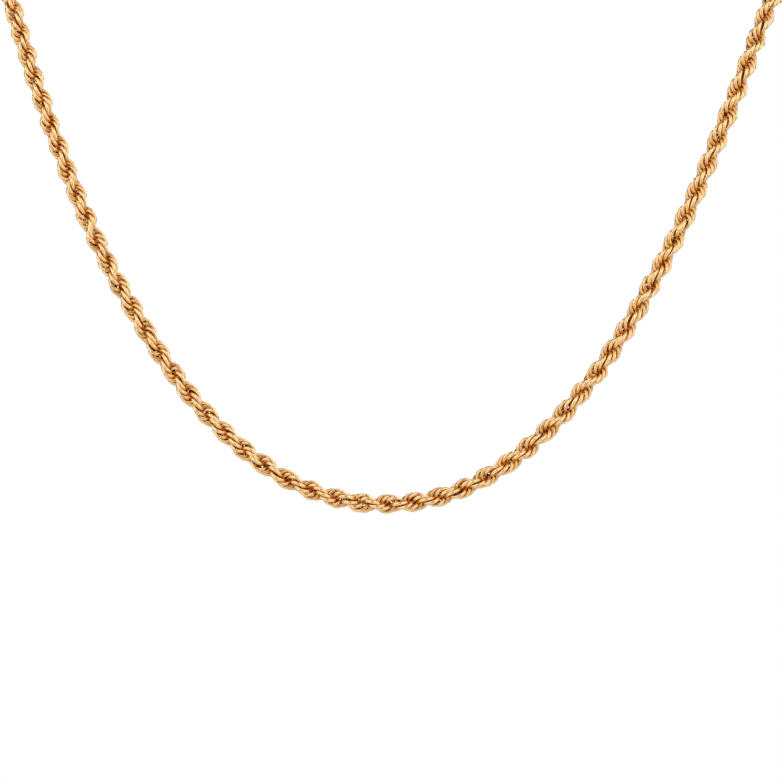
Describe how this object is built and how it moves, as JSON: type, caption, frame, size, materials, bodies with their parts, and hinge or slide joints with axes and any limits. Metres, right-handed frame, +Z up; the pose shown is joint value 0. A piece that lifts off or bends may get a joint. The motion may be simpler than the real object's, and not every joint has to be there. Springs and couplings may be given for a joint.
{
  "type": "rope chain necklace",
  "caption": "Twisted rope chain of interlocking round-wire gold links, a closed loop in the shape it takes on a neck, with a barrel clasp at the nape.",
  "frame": {"origin": "middle of the neck, at the height where the chain leaves the neck's sides for the chest", "axes": "+Z up, +X to the viewer's right across the neck, +Y towards the nape"},
  "size_m": [0.1267, 0.1, 0.1099],
  "materials": {
    "chain_gold": "polished yellow gold wire",
    "clasp_gold": "polished yellow gold"
  },
  "bodies": {
    "root": {"rope_chain": "chain_gold", "barrel_clasp": "clasp_gold"}
  },
  "joints": []
}
